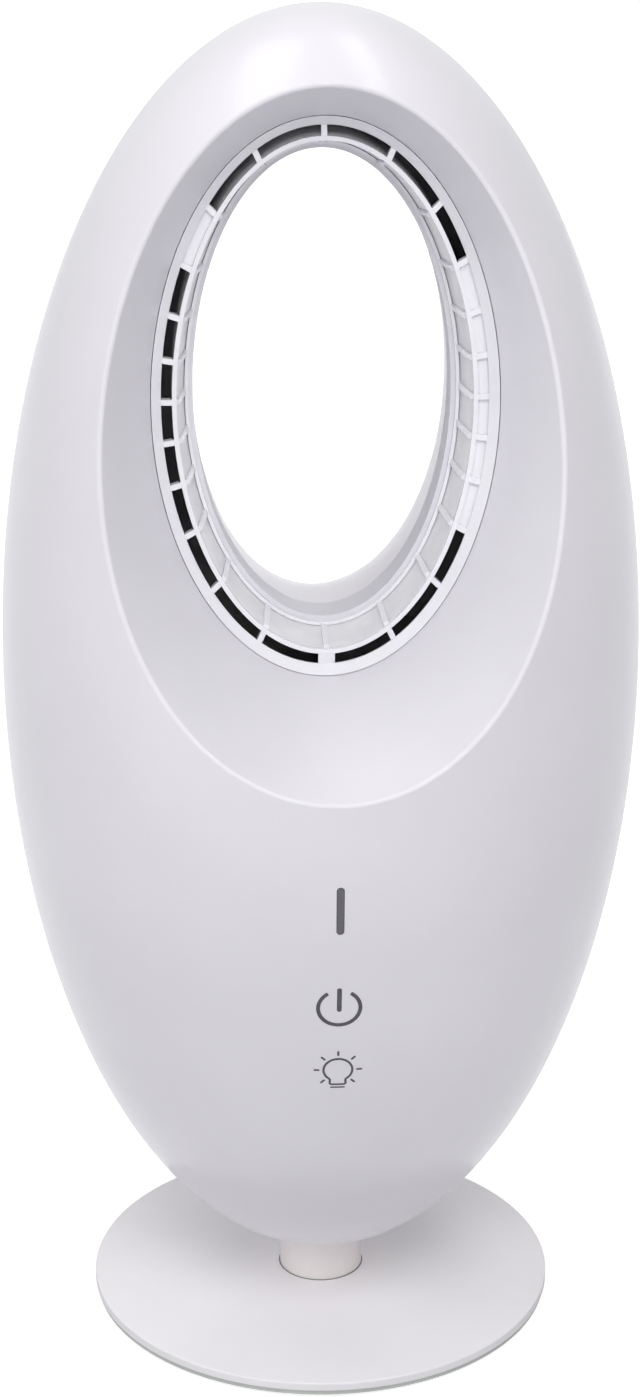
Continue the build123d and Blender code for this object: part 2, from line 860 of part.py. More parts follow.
# --- Power socket: round low-voltage inlet, its nose level with the pocket's floor ---
socket_back_plane = Plane(
    origin=(0, socket_inner_y - seat, socket_z), x_dir=(1, 0, 0), z_dir=(0, -1, 0)
)
socket_face_plane = Plane(origin=(0, socket_face_y, socket_z), x_dir=(1, 0, 0), z_dir=(0, -1, 0))
with BuildPart() as power_socket:
    with BuildSketch(socket_face_plane):
        Circle(socket_radius)
    extrude(amount=socket_floor + seat)
    with BuildSketch(socket_back_plane):
        Rectangle(socket_body_width, socket_body_width)
    extrude(amount=socket_body_depth)
    with BuildSketch(socket_face_plane):
        Circle(socket_bore)
        Circle(socket_pin, mode=Mode.SUBTRACT)
    extrude(amount=socket_body_depth, mode=Mode.SUBTRACT)
finish(power_socket.part, "power_socket")

# --- Fan inlet: a bell mouth under the impeller that grows into its conical shroud ---

inlet_flange_top = fan_bottom_z + inlet_flange_thickness
bell_radius = shroud_bottom_z - fan_bottom_z
shroud_slope = (shroud_top_radius - bell_mouth_radius) / (shroud_top_z - shroud_bottom_z)
bell_rim_radius = bell_mouth_radius + bell_radius
bell_middle = (
    bell_rim_radius - bell_radius * cos(radians(45)),
    shroud_bottom_z - bell_radius * sin(radians(45)),
)
with BuildPart() as fan_inlet:
    with BuildSketch(Plane.XZ):
        with BuildLine():
            ThreePointArc(
                (bell_rim_radius, fan_bottom_z), bell_middle, (bell_mouth_radius, shroud_bottom_z)
            )
            Polyline(
                (bell_mouth_radius, shroud_bottom_z),
                (shroud_top_radius, shroud_top_z),
                (shroud_top_radius + shroud_wall, shroud_top_z),
                (
                    bell_mouth_radius + shroud_wall + bell_shoulder,
                    shroud_bottom_z + bell_shoulder,
                ),
                (bell_rim_radius + bell_shoulder, inlet_flange_top),
                (housing_radius, inlet_flange_top),
                (housing_radius, fan_bottom_z),
                (bell_rim_radius, fan_bottom_z),
            )
        make_face()
    revolve(axis=Axis.Z)
finish(fan_inlet.part, "fan_inlet")

# --- Impeller: a dished hub with twisted blades, pressed on the shaft ---
hub_bottom_z = shroud_bottom_z + hub_nose
hub_waist_z = hub_bottom_z + hub_nose_height
impeller_top_z = shroud_top_z
boss_top_z = impeller_top_z - hub_boss_drop


def hub_radius(z):
    share = (z - hub_waist_z) / (impeller_top_z - hub_waist_z)
    return hub_bottom_radius + share * (hub_top_radius - hub_bottom_radius)


def tip_radius(z):
    return bell_mouth_radius + shroud_slope * (z - shroud_bottom_z) - impeller_gap


def swept_blade(heights, inner, outer, thickness, twist, start):
    # Blade lofted through radial bars that turn as they climb.
    with BuildPart() as blade:
        for z in heights:
            share = (z - heights[0]) / (heights[-1] - heights[0])
            turned = Plane(
                origin=(0, 0, z),
                x_dir=(cos(radians(start + twist * share)), sin(radians(start + twist * share)), 0),
                z_dir=(0, 0, 1),
            )
            with BuildSketch(turned):
                with Locations(((inner(z) + outer(z)) / 2, 0)):
                    Rectangle(outer(z) - inner(z), thickness)
        loft()
    return blade.part


def steps(low, high, count):
    return [low + (high - low) * index / count for index in range(count + 1)]


with BuildPart() as impeller:
    with BuildSketch(Plane.XZ):
        with BuildLine():
            Polyline(
                (shaft_radius, hub_bottom_z),
                (hub_bottom_radius / 2, hub_bottom_z),
                (hub_bottom_radius, hub_waist_z),
                (hub_top_radius, impeller_top_z),
                (hub_top_radius - hub_wall, impeller_top_z),
                (hub_bottom_radius, hub_waist_z + hub_wall),
                (hub_boss_radius, hub_waist_z),
                (hub_boss_radius, boss_top_z),
                (shaft_radius, boss_top_z),
                (shaft_radius, hub_bottom_z),
            )
        make_face()
    revolve(axis=Axis.Z)
    for blade in range(blade_count):
        add(
            swept_blade(
                steps(hub_waist_z, impeller_top_z, 3),
                lambda z: hub_radius(z) - hub_wall / 2,
                tip_radius,
                blade_thickness,
                blade_twist,
                blade * 360 / blade_count,
            )
        )
finish(impeller.part, "impeller")

# --- Fan housing: outer tube, motor bucket, and the still vanes between them ---
housing_bottom_z = inlet_flange_top + seat
bucket_bottom_z = impeller_top_z + bucket_gap
bucket_floor_z = bucket_bottom_z + bucket_wall
bucket_top_z = bucket_bottom_z + bucket_height
motor_screw_spots = PolarLocations(motor_screw_circle, 3)
housing_screw_spots = PolarLocations((housing_radius + housing_flange_radius) / 2, 3)
boss_clear_radius = bearing_outer_radius + motor_wall + fit
with BuildPart() as fan_housing:
    add(tube(housing_radius, housing_bottom_z, fan_top_z, housing_radius - housing_wall))
    add(
        tube(
            housing_flange_radius,
            fan_top_z - housing_flange_thickness,
            fan_top_z,
            housing_radius - housing_wall,
        )
    )
    add(tube(bucket_radius, bucket_bottom_z, bucket_top_z, bucket_radius - bucket_wall))
    add(tube(bucket_radius - bucket_wall / 2, bucket_bottom_z, bucket_floor_z, boss_clear_radius))
    for vane in range(stator_vane_count):
        add(
            swept_blade(
                steps(
                    bucket_bottom_z + stator_vane_margin, bucket_top_z - stator_vane_margin, 2
                ),
                lambda z: bucket_radius - bucket_wall / 2,
                lambda z: housing_radius - housing_wall / 2,
                stator_vane_thickness,
                stator_vane_twist,
                vane * 360 / stator_vane_count,
            )
        )
    with BuildSketch(Plane.XY.offset(bucket_bottom_z)):
        with motor_screw_spots:
            Circle(small_screw_radius + seat)
    extrude(amount=bucket_wall, mode=Mode.SUBTRACT)
    with BuildSketch(Plane.XY.offset(fan_top_z)):
        with housing_screw_spots:
            Circle(small_screw_radius + seat)
    extrude(amount=-housing_flange_thickness, mode=Mode.SUBTRACT)
finish(fan_housing.part, "fan_housing")

# --- Motor: can, lid, laminations, magnet rotor, shaft and two bearings ---
can_bottom_z = bucket_floor_z + seat
can_top_z = can_bottom_z + motor_height
lower_bearing_z = can_bottom_z - boss_drop + motor_wall
with BuildPart() as motor_can:
    add(tube(motor_radius, can_bottom_z, can_top_z, motor_radius - motor_wall))
    add(tube(motor_radius - motor_wall / 2, can_bottom_z, can_bottom_z + motor_wall))
    add(
        tube(
            bearing_outer_radius + motor_wall,
            can_bottom_z - boss_drop,
            lower_bearing_z + bearing_width,
        )
    )
    add(tube(bearing_outer_radius, lower_bearing_z, can_top_z), mode=Mode.SUBTRACT)
    add(tube(shaft_radius + air_gap, 0, can_top_z), mode=Mode.SUBTRACT)
    with BuildSketch(Plane.XY.offset(can_bottom_z)):
        with motor_screw_spots:
            Circle(small_screw_radius + seat)
    extrude(amount=motor_wall, mode=Mode.SUBTRACT)
finish(motor_can.part, "motor_can")

lid_bottom_z = can_top_z + seat
upper_bearing_z = lid_bottom_z - boss_drop
with BuildPart() as motor_lid:
    add(tube(motor_radius, lid_bottom_z, lid_bottom_z + motor_wall))
    add(tube(bearing_outer_radius + motor_wall, upper_bearing_z, lid_bottom_z + motor_wall))
    add(
        tube(bearing_outer_radius, upper_bearing_z, upper_bearing_z + bearing_width),
        mode=Mode.SUBTRACT,
    )
    add(tube(shaft_radius + air_gap, 0, fan_top_z), mode=Mode.SUBTRACT)
finish(motor_lid.part, "motor_lid")

with BuildPart() as motor_bearings:
    for bearing_z in (lower_bearing_z, upper_bearing_z):
        add(
            tube(
                bearing_outer_radius,
                bearing_z,
                bearing_z + bearing_width,
                shaft_radius + running_fit,
            )
        )
finish(motor_bearings.part, "motor_bearings")

lamination_z = (lower_bearing_z + bearing_width + upper_bearing_z - lamination_height) / 2
with BuildPart() as motor_stator:
    add(
        tube(
            motor_radius - motor_wall,
            lamination_z,
            lamination_z + lamination_height,
            rotor_radius + air_gap,
        )
    )
    with BuildSketch(Plane.XY.offset(lamination_z)):
        with PolarLocations((motor_radius + rotor_radius) / 2, stator_slot_count):
            Circle(stator_slot_radius)
    extrude(amount=lamination_height, mode=Mode.SUBTRACT)
finish(motor_stator.part, "motor_stator")

with BuildPart() as motor_rotor:
    add(tube(rotor_radius, lamination_z, lamination_z + lamination_height, shaft_radius))
finish(motor_rotor.part, "motor_rotor")

with BuildPart() as motor_shaft:
    add(tube(shaft_radius, hub_bottom_z, upper_bearing_z + bearing_width))
finish(motor_shaft.part, "motor_shaft")


def downward(spots, z):
    return [
        Plane(origin=(spot.position.X, spot.position.Y, z), x_dir=(1, 0, 0), z_dir=(0, 0, -1))
        for spot in spots
    ]


motor_screws = screw_set(
    downward(motor_screw_spots.locations, bucket_bottom_z),
    small_screw_radius,
    small_screw_head,
    bucket_wall + motor_wall,
)
finish(motor_screws, "motor_screws")

# --- Cap over the motor bucket ---
cap_skirt_radius = bucket_radius - bucket_wall - fit
cap_base_z = bucket_top_z + seat


def dome_radius(half_width, rise):
    return (half_width**2 + rise**2) / (2 * rise)


with BuildPart() as motor_cap:
    with BuildSketch(Plane.XZ):
        with BuildLine():
            Line((0, cap_base_z + cap_rise - cap_wall), (0, cap_base_z + cap_rise))
            RadiusArc(
                (0, cap_base_z + cap_rise),
                (bucket_radius, cap_base_z),
                dome_radius(bucket_radius, cap_rise),
            )
            Polyline(
                (bucket_radius, cap_base_z),
                (cap_skirt_radius, cap_base_z),
                (cap_skirt_radius, cap_base_z - cap_skirt),
                (cap_skirt_radius - cap_wall, cap_base_z - cap_skirt),
                (cap_skirt_radius - cap_wall, cap_base_z),
            )
            RadiusArc(
                (cap_skirt_radius - cap_wall, cap_base_z),
                (0, cap_base_z + cap_rise - cap_wall),
                -dome_radius(cap_skirt_radius - cap_wall, cap_rise - cap_wall),
            )
        make_face()
    revolve(axis=Axis.Z)
finish(motor_cap.part, "motor_cap")

# --- Gasket and air plate: they part the suction side from the pressure side ---
with BuildPart() as fan_gasket:
    with BuildSketch(Plane.XY.offset(fan_top_z)):
        Circle(housing_flange_radius)
        Circle(housing_radius - housing_wall, mode=Mode.SUBTRACT)
        with housing_screw_spots:
            Circle(small_screw_radius + seat, mode=Mode.SUBTRACT)
    extrude(amount=gasket_thickness)
finish(fan_gasket.part, "fan_gasket")

with BuildPart() as air_plate:
    with BuildSketch(Plane.XY.offset(plate_bottom_z)):
        Circle(body_radius)
        Circle(housing_radius - housing_wall, mode=Mode.SUBTRACT)
        with housing_screw_spots:
            Circle(small_screw_radius + seat, mode=Mode.SUBTRACT)
    extrude(amount=plate_thickness)
    add(egg(shell_wall + 2 * fit), mode=Mode.INTERSECT)
    add(plate_screw_holes(), mode=Mode.SUBTRACT)
finish(air_plate.part, "air_plate")

housing_screws = screw_set(
    downward(housing_screw_spots.locations, fan_top_z - housing_flange_thickness),
    small_screw_radius,
    small_screw_head,
    housing_flange_thickness + gasket_thickness + plate_thickness,
)
finish(housing_screws, "housing_screws")

plate_screws = screw_set(
    [
        Plane(origin=(spot.position.X, spot.position.Y, plate_top_z))
        for spot in plate_screw_spots.locations
    ],
    small_screw_radius,
    small_screw_head,
    plate_screw_length,
)
finish(plate_screws, "plate_screws")

shell_screws = screw_set(
    [
        Plane(origin=(x, parting_y(z) + screw_seat, z), x_dir=(1, 0, 0), z_dir=(0, 1, 0))
        for x, z in tower_points
    ],
    shell_screw_radius,
    shell_screw_head,
    shell_screw_length,
)
finish(shell_screws, "shell_screws")

# --- Neck: a hollow stem clamped in the base and to the egg's foot ---
pan_top_z = base_foot_height + pan_thickness
weight_top_z = pan_top_z + weight_thickness
cover_underside_z = weight_top_z + seat
with BuildPart() as neck_stem:
    add(tube(neck_flange_radius, pan_top_z, weight_top_z))
    add(tube(neck_radius, pan_top_z, neck_step_z - seat))
    add(tube(neck_spigot_radius, pan_top_z, neck_boss_top + washer_thickness + nut_height))
    add(tube(neck_bore, 0, fan_bottom_z), mode=Mode.SUBTRACT)
finish(neck_stem.part, "neck_stem")

with BuildPart() as neck_washer:
    add(tube(nut_radius, neck_boss_top, neck_boss_top + washer_thickness, neck_spigot_radius + fit))
finish(neck_washer.part, "neck_washer")

with BuildPart() as neck_nut:
    with BuildSketch(Plane.XY.offset(neck_boss_top + washer_thickness)):
        RegularPolygon(nut_radius, 6)
        Circle(neck_spigot_radius + seat, mode=Mode.SUBTRACT)
    extrude(amount=nut_height)
finish(neck_nut.part, "neck_nut")

# --- Base: domed cover, steel weight, pan, rubber feet and four screws ---
base_screw_spots = PolarLocations(base_screw_circle, 4, start_angle=45)
with BuildPart() as base_cover:
    with BuildSketch(Plane.XZ):
        with BuildLine():
            Line((0, cover_underside_z), (0, base_top_z + base_dome))
            RadiusArc(
                (0, base_top_z + base_dome),
                (base_radius, base_top_z),
                dome_radius(base_radius, base_dome),
            )
            Polyline(
                (base_radius, base_top_z),
                (base_radius, pan_top_z + cover_seam),
                (weight_radius + fit, pan_top_z + cover_seam),
                (weight_radius + fit, cover_underside_z),
                (0, cover_underside_z),
            )
        make_face()
    revolve(axis=Axis.Z)
    add(tube(neck_radius + fit, 0, neck_step_z), mode=Mode.SUBTRACT)
    with BuildSketch(Plane.XY.offset(cover_underside_z)):
        with base_screw_spots:
            Circle(small_screw_radius + seat)
    extrude(amount=base_screw_bite, mode=Mode.SUBTRACT)
    rims = base_cover.edges().filter_by(GeomType.CIRCLE).sort_by(lambda edge: -edge.radius)
    fillet(rims[:2], cover_fillet)
finish(base_cover.part, "base_cover")

with BuildPart() as base_weight:
    with BuildSketch(Plane.XY.offset(pan_top_z)):
        Circle(weight_radius)
        Circle(neck_flange_radius + fit, mode=Mode.SUBTRACT)
        with base_screw_spots:
            Circle(small_screw_radius + fit, mode=Mode.SUBTRACT)
    extrude(amount=weight_thickness)
finish(base_weight.part, "base_weight")

with BuildPart() as base_pan:
    add(tube(pan_radius, base_foot_height, pan_top_z))
    with BuildSketch(Plane.XY.offset(base_foot_height)):
        with base_screw_spots:
            Circle(small_screw_radius + fit)
    extrude(amount=pan_thickness, mode=Mode.SUBTRACT)
finish(base_pan.part, "base_pan")

base_screws = screw_set(
    downward(base_screw_spots.locations, base_foot_height),
    small_screw_radius,
    small_screw_head,
    cover_underside_z + base_screw_bite - fit - base_foot_height,
)
finish(base_screws, "base_screws")

with BuildPart() as base_feet:
    with BuildSketch(Plane.XY):
        with PolarLocations(foot_circle, foot_count):
            Circle(foot_radius)
    extrude(amount=base_foot_height)
finish(base_feet.part, "base_feet")
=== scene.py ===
import math

import bpy
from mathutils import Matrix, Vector


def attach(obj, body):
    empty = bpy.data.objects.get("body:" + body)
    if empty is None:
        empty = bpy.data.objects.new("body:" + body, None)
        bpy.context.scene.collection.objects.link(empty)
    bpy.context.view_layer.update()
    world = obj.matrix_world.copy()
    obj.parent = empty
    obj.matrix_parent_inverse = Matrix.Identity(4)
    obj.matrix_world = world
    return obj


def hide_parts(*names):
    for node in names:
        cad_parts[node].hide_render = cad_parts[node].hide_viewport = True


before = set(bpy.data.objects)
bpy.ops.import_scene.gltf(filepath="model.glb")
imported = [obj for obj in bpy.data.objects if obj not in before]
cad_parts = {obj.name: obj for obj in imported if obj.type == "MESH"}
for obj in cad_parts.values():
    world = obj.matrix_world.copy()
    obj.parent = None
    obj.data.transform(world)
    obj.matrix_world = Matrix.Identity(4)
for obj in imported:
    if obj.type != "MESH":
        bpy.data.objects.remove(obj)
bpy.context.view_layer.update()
mm = 0.001
mmPerMetre = 1000
endShare = 0.9      # an edge or face past this share of a length lies at its end
print("frame loaded:", len(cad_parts), "nodes")


# small helpers

def hexColour(code):
    # scene-linear colour of an sRGB code
    channels = [int(code[i:i + 2], 16) / 255 for i in (1, 3, 5)]
    linear = [c / 12.92 if c <= 0.04045 else ((c + 0.055) / 1.055) ** 2.4 for c in channels]
    return (*linear, 1.0)


def addNode(tree, kind, settings=None, links=None):
    # settings name either a socket (by name or number) or a property of the node
    node = tree.nodes.new(kind)
    for name, value in (settings or {}).items():
        if isinstance(name, int) or name in node.inputs:
            node.inputs[name].default_value = value
        else:
            setattr(node, name, value)
    for name, socket in (links or {}).items():
        tree.links.new(socket, node.inputs[name])
    return node


def clearSelection():
    if bpy.context.object and bpy.context.object.mode != "OBJECT":
        bpy.ops.object.mode_set(mode="OBJECT")
    bpy.ops.object.select_all(action="DESELECT")


def applyPlace(piece):
    # the place goes into the mesh, so that the object itself sits at the origin
    clearSelection()
    piece.select_set(True)
    bpy.context.view_layer.objects.active = piece
    bpy.ops.object.transform_apply(location=True, rotation=True, scale=True)
    return piece


def joinPieces(pieces, name):
    # one object from several, under the given name
    clearSelection()
    for piece in pieces:
        piece.select_set(True)
    bpy.context.view_layer.objects.active = pieces[0]
    if len(pieces) > 1:
        bpy.ops.object.join()
    joined = bpy.context.object
    joined.name = name
    return joined


def copyPiece(piece, place, turn):
    # a copy with its own mesh, put in place; place in millimetres, turn in degrees
    copy = piece.copy()
    copy.data = piece.data.copy()
    bpy.context.scene.collection.objects.link(copy)
    copy.location = [value * mm for value in place]
    copy.rotation_euler = [math.radians(value) for value in turn]
    return applyPlace(copy)


def pickFaces(piece, test):
    # in edit mode: picks the faces whose middle, in millimetres, passes the test
    bpy.ops.object.mode_set(mode="EDIT")
    bpy.ops.mesh.select_mode(type="FACE")
    bpy.ops.mesh.select_all(action="DESELECT")
    bpy.ops.object.mode_set(mode="OBJECT")
    for face in piece.data.polygons:
        face.select = test(face.center / mm)
    bpy.ops.object.mode_set(mode="EDIT")


def pickEdges(piece, test):
    # in edit mode: picks the edges whose middle, in millimetres, and direction pass the test
    bpy.ops.object.mode_set(mode="EDIT")
    bpy.ops.mesh.select_mode(type="EDGE")
    bpy.ops.mesh.select_all(action="DESELECT")
    bpy.ops.object.mode_set(mode="OBJECT")
    points = piece.data.vertices
    for edge in piece.data.edges:
        start, end = (points[index].co / mm for index in edge.vertices)
        edge.select = test((start + end) / 2, (end - start).normalized())
    bpy.ops.object.mode_set(mode="EDIT")


def applyModifier(piece, kind, **settings):
    clearSelection()
    piece.select_set(True)
    bpy.context.view_layer.objects.active = piece
    modifier = piece.modifiers.new(kind.lower(), kind)
    for name, value in settings.items():
        setattr(modifier, name, value)
    bpy.ops.object.modifier_apply(modifier=modifier.name)


def bevelPicked(widthMm, steps, affect="EDGES"):
    # rounds what is picked in edit mode and goes back to object mode
    bpy.ops.mesh.bevel(offset=widthMm * mm, segments=steps, affect=affect)
    bpy.ops.object.mode_set(mode="OBJECT")


def dressPiece(piece, finish, smoothDegrees=35):
    clearSelection()
    piece.select_set(True)
    bpy.context.view_layer.objects.active = piece
    bpy.ops.object.shade_smooth_by_angle(angle=math.radians(smoothDegrees))
    piece.data.materials.clear()
    piece.data.materials.append(materials[finish])
    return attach(piece, "fan_body")


# materials: each starts from the real one; grainMm, depthMm, blotchMm and scatterMm are real
# sizes in millimetres, apart from the grains that a comment says are drawn coarser, because
# they are too fine to show

finishes = {
    # injection-moulded ABS from a polished tool: soft gloss, faint orange-peel ripple
    "mouldedAbsSatinWhite": dict(
        colour="#EDEBF0", shade="#E8E6EB", rough=(0.3, 0.38), grainMm=1.6, depthMm=0.004,
        blotchMm=60, ior=1.46, coat=0.3, coatRough=0.15),
    # the same ABS on the base plate, with a dull satin top; its colour is painted lighter than
    # the body's, as painted light for the base
    "mouldedAbsBaseWhitePaintedLight": dict(
        colour="#F8F6F8", shade="#F3F1F3", rough=(0.55, 0.65), grainMm=1.4, depthMm=0.008,
        blotchMm=45, ior=1.46),
    # high-gloss ABS hoop and ribs, brighter than the body
    "mouldedAbsGlossWhite": dict(
        colour="#F3F2F6", shade="#EDECF1", rough=(0.2, 0.28), grainMm=1.2, depthMm=0.002,
        blotchMm=25, ior=1.53, coat=0.3, coatRough=0.12),
    # plain satin ABS of the air passage, no polish where nobody looks along it
    "mouldedAbsThroatWhite": dict(
        colour="#E6E5EA", shade="#DFDEE3", rough=(0.5, 0.6), grainMm=1.0, depthMm=0.006,
        blotchMm=35, ior=1.53),
    # inner white ABS round the air slot, matt, so that the slot is not quite black
    "mouldedAbsSlotWhite": dict(
        colour="#F4F3F4", shade="#ECEBEC", rough=(0.55, 0.65), grainMm=1.0, depthMm=0.006,
        blotchMm=30, ior=1.53),
    # opal acrylic light guide: milky body that lets light through, dull polish, soft clouding
    "opalAcrylicMilky": dict(
        colour="#F7F7F8", shade="#ECEDF0", rough=(0.28, 0.4), grainMm=2.5, depthMm=0.004,
        blotchMm=7, ior=1.49, subsurface=0.35, scatterMm=2.5),
    # ABS neck, slightly warm and satin
    "mouldedAbsNeckWarm": dict(
        colour="#F7F1F0", shade="#F0EAE8", rough=(0.32, 0.4), grainMm=1.2, depthMm=0.004,
        blotchMm=20, ior=1.53, coat=0.15, coatRough=0.25),
    # spark-eroded ABS panel: even grain that dulls the light, drawn coarser than its 0.1 mm
    "erodedAbsGrainWhite": dict(
        colour="#E6E5EA", shade="#DEDDE3", rough=(0.5, 0.62), grainMm=0.5, depthMm=0.03,
        blotchMm=30, ior=1.53),
    # plain polypropylene of the inner mouldings, waxy
    "polypropyleneNatural": dict(
        colour="#D9D9D6", shade="#CFCFCB", rough=(0.42, 0.52), grainMm=1.0, depthMm=0.01,
        blotchMm=20, ior=1.49, subsurface=0.12),
    # glass-filled nylon impeller: grey, faintly mottled by its fibres, drawn coarser
    "glassFilledNylonGrey": dict(
        colour="#8F949B", shade="#7E838B", rough=(0.45, 0.6), grainMm=0.35, depthMm=0.02,
        blotchMm=4, ior=1.53),
    # smoked acrylic lens, glossy and dark
    "smokedAcrylicDark": dict(
        colour="#545359", shade="#4C4B51", rough=(0.12, 0.18), grainMm=2.0, depthMm=0.002,
        blotchMm=8, ior=1.49, coat=0.5, coatRough=0.08),
    # screen-printed ink, matt, slightly uneven, its mesh marks drawn coarser
    "screenInkGraphite": dict(
        colour="#49474B", shade="#545256", rough=(0.5, 0.65), grainMm=0.25, depthMm=0.006,
        blotchMm=1.5, ior=1.5),
    # epoxy circuit board under green solder mask
    "solderMaskGreen": dict(
        colour="#1F5B3A", shade="#174B2F", rough=(0.28, 0.4), grainMm=0.8, depthMm=0.01,
        blotchMm=6, ior=1.55, coat=0.3, coatRough=0.2),
    # closed-cell neoprene foam
    "neopreneFoamBlack": dict(
        colour="#2A2A2B", shade="#1F1F20", rough=(0.75, 0.9), grainMm=0.4, depthMm=0.08,
        blotchMm=5, ior=1.5),
    # open-cell polyether filter foam, dark grey
    "filterFoamCharcoal": dict(
        colour="#4A4B4D", shade="#333436", rough=(0.85, 0.95), grainMm=0.7, depthMm=0.25,
        blotchMm=3, ior=1.5),
    # moulded silicone rubber of the feet, dull; the same dark grey on the neck ring is painted
    # shade for the gap round the neck
    "siliconeRubberAndPaintedShadeGrey": dict(
        colour="#7C7E7E", shade="#6E7070", rough=(0.6, 0.75), grainMm=0.6, depthMm=0.02,
        blotchMm=5, ior=1.43),
    # ABS pan, faintly green-grey, with an eroded grain that is drawn coarser
    "mouldedAbsPanGrey": dict(
        colour="#C9CDC9", shade="#BFC4C0", rough=(0.45, 0.55), grainMm=0.5, depthMm=0.015,
        blotchMm=25, ior=1.53),
    # black nylon of the inlet, plain moulded
    "nylonSocketBlack": dict(
        colour="#262627", shade="#1D1D1E", rough=(0.35, 0.48), grainMm=0.6, depthMm=0.01,
        blotchMm=4, ior=1.53),
    # zinc-plated steel, bluish with a soft bloom, its crystal grain drawn coarser
    "zincPlatedSteel": dict(
        colour="#C3C7CC", shade="#AEB3BA", rough=(0.28, 0.42), grainMm=0.3, depthMm=0.004,
        blotchMm=2.5, metallic=1.0),
    # nickel-plated contact pin, bright and slightly warm, its wear marks drawn coarser
    "nickelPlatedBrass": dict(
        colour="#D3CFC6", shade="#C6C1B6", rough=(0.16, 0.26), grainMm=0.2, depthMm=0.002,
        blotchMm=3, metallic=1.0),
    # ground and polished shaft steel, clear gloss, its grinding marks drawn coarser
    "groundSteelBright": dict(
        colour="#D2D3D5", shade="#C4C5C8", rough=(0.14, 0.22), grainMm=0.15, depthMm=0.002,
        blotchMm=6, metallic=1.0),
    # stacked electrical steel sheets, dark, with dull punched edges
    "laminatedSteelDark": dict(
        colour="#6E7073", shade="#5A5C60", rough=(0.4, 0.55), grainMm=0.5, depthMm=0.03,
        blotchMm=3, metallic=1.0),
    # sintered ferrite magnet, nearly black, its grain drawn coarser
    "sinteredFerrite": dict(
        colour="#3A3A3D", shade="#2E2E31", rough=(0.5, 0.65), grainMm=0.3, depthMm=0.01,
        blotchMm=2, ior=1.9),
}

# shared by all finishes: fine grain moves the roughness and the bump, wide blotches the colour
recipe = dict(
    grainDetail=3.0, grainRough=0.55, grainFrom=0.3, grainTo=0.7, bumpStrength=0.6,
    blotchDetail=4.0, blotchRough=0.5, blotchFrom=0.35, blotchTo=0.65,
    plainCoatRough=0.03, plainScatterMm=3,
)


def makeFinish(name, look):
    # patterns read Object coordinates, so they keep their real size on every piece
    material = bpy.data.materials.new(name)
    material.use_nodes = True
    tree = material.node_tree
    tree.nodes.clear()
    place = addNode(tree, "ShaderNodeTexCoord")
    grain = addNode(tree, "ShaderNodeTexNoise",
                    {"Scale": mmPerMetre / look["grainMm"], "Detail": recipe["grainDetail"],
                     "Roughness": recipe["grainRough"]},
                    {"Vector": place.outputs["Object"]})
    blotch = addNode(tree, "ShaderNodeTexNoise",
                     {"Scale": mmPerMetre / look["blotchMm"], "Detail": recipe["blotchDetail"],
                      "Roughness": recipe["blotchRough"]},
                     {"Vector": place.outputs["Object"]})
    spread = addNode(tree, "ShaderNodeMapRange",
                     {"From Min": recipe["blotchFrom"], "From Max": recipe["blotchTo"]},
                     {"Value": blotch.outputs["Fac"]})
    # sockets 6 and 7 are the mix's two colours, output 2 the mixed one
    colour = addNode(tree, "ShaderNodeMix",
                     {"data_type": "RGBA", 6: hexColour(look["colour"]),
                      7: hexColour(look["shade"])},
                     {"Factor": spread.outputs["Result"]})
    low, high = look["rough"]
    roughness = addNode(tree, "ShaderNodeMapRange",
                        {"From Min": recipe["grainFrom"], "From Max": recipe["grainTo"],
                         "To Min": low, "To Max": high},
                        {"Value": grain.outputs["Fac"]})
    bump = addNode(tree, "ShaderNodeBump",
                   {"Strength": recipe["bumpStrength"], "Distance": look["depthMm"] * mm},
                   {"Height": grain.outputs["Fac"]})
    shader = addNode(tree, "ShaderNodeBsdfPrincipled",
                     {"Metallic": look.get("metallic", 0.0),
                      "Coat Weight": look.get("coat", 0.0),
                      "Coat Roughness": look.get("coatRough", recipe["plainCoatRough"]),
                      "Subsurface Weight": look.get("subsurface", 0.0),
                      "Subsurface Radius": (1.0, 1.0, 1.0),
                      "Subsurface Scale":
                          look.get("scatterMm", recipe["plainScatterMm"]) * mm},
                     {"Base Color": colour.outputs[2],
                      "Roughness": roughness.outputs["Result"],
                      "Normal": bump.outputs["Normal"]})
    if "ior" in look:
        shader.inputs["IOR"].default_value = look["ior"]
    addNode(tree, "ShaderNodeOutputMaterial", links={"Surface": shader.outputs["BSDF"]})
    return material


materials = {name: makeFinish(name, look) for name, look in finishes.items()}
print("materials made:", len(materials))

# which nodes of the frame wear which finish
nodeFinish = {
    "mouldedAbsSatinWhite": ["front_shell", "rear_shell"],
    "mouldedAbsBaseWhitePaintedLight": ["base_cover"],
    "mouldedAbsGlossWhite": ["outlet_grille"],
    "mouldedAbsThroatWhite": ["throat_sleeve"],
    "mouldedAbsSlotWhite": ["outlet_nozzle"],
    "opalAcrylicMilky": ["light_guide"],
    "mouldedAbsNeckWarm": ["neck_stem"],
    "erodedAbsGrainWhite": ["intake_grille"],
    "polypropyleneNatural": ["fan_inlet", "fan_housing", "air_plate", "motor_cap"],
    "glassFilledNylonGrey": ["impeller"],
    "smokedAcrylicDark": ["indicator_lens"],
    "solderMaskGreen": ["control_board", "lamp_board"],
    "neopreneFoamBlack": ["fan_gasket", "touch_pads"],
    "filterFoamCharcoal": ["dust_filter"],
    "siliconeRubberAndPaintedShadeGrey": ["base_feet"],
    "mouldedAbsPanGrey": ["base_pan"],
    "nylonSocketBlack": ["power_socket"],
    "zincPlatedSteel": ["motor_can", "motor_lid", "base_screws", "board_screws",
                        "housing_screws", "motor_screws", "plate_screws", "shell_screws",
                        "neck_nut", "neck_washer", "base_weight"],
    "groundSteelBright": ["motor_shaft", "motor_bearings"],
    "laminatedSteelDark": ["motor_stator"],
    "sinteredFerrite": ["motor_rotor"],
}
for finish, names in nodeFinish.items():
    for name in names:
        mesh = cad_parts[name].data
        mesh.materials.clear()
        mesh.materials.append(materials[finish])

